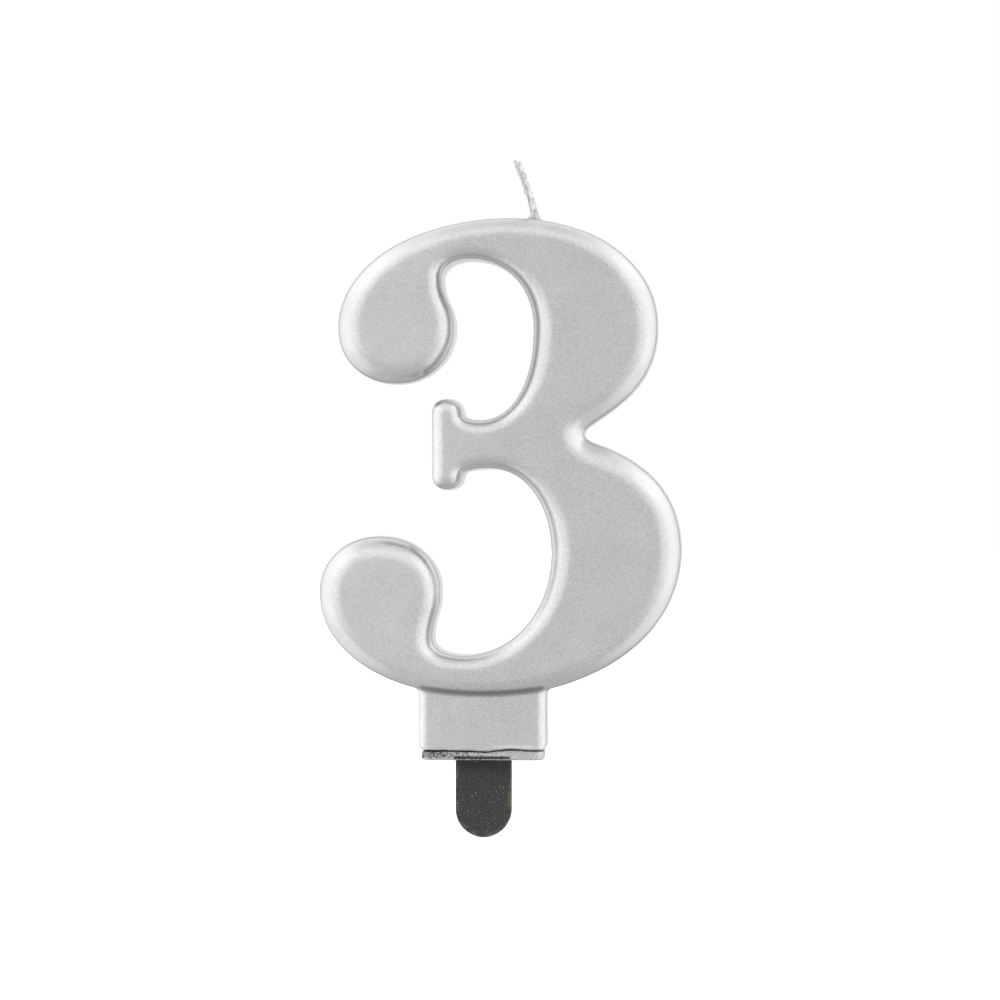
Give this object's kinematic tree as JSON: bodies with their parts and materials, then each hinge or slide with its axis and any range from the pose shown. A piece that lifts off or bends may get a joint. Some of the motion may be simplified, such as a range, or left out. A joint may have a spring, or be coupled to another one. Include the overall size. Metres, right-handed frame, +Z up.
{
  "type": "number birthday candle",
  "caption": "Silver numeral candle in the shape of the digit three, on a square wax block, with a wick and a flat plastic spike that stands it in a cake.",
  "frame": {"origin": "on the spike's axis, on the underside of the holder's flange plate, where the top of the cake comes to", "axes": "+Z up the candle, +X to the digit's right as it is read, -Y towards the reader, so the digit's faces look along -Y and +Y"},
  "size_m": [0.0536, 0.012, 0.1001],
  "materials": {
    "silver_wax": "cast paraffin wax under a sprayed satin silver metallic lacquer",
    "wick_cotton": "twisted waxed cotton cord with silver lacquer on its free end",
    "black_plastic": "black injection-moulded plastic with fine specks"
  },
  "bodies": {
    "root": {"wax_numeral": "silver_wax", "wick": "wick_cotton", "holder": "black_plastic"}
  },
  "joints": []
}
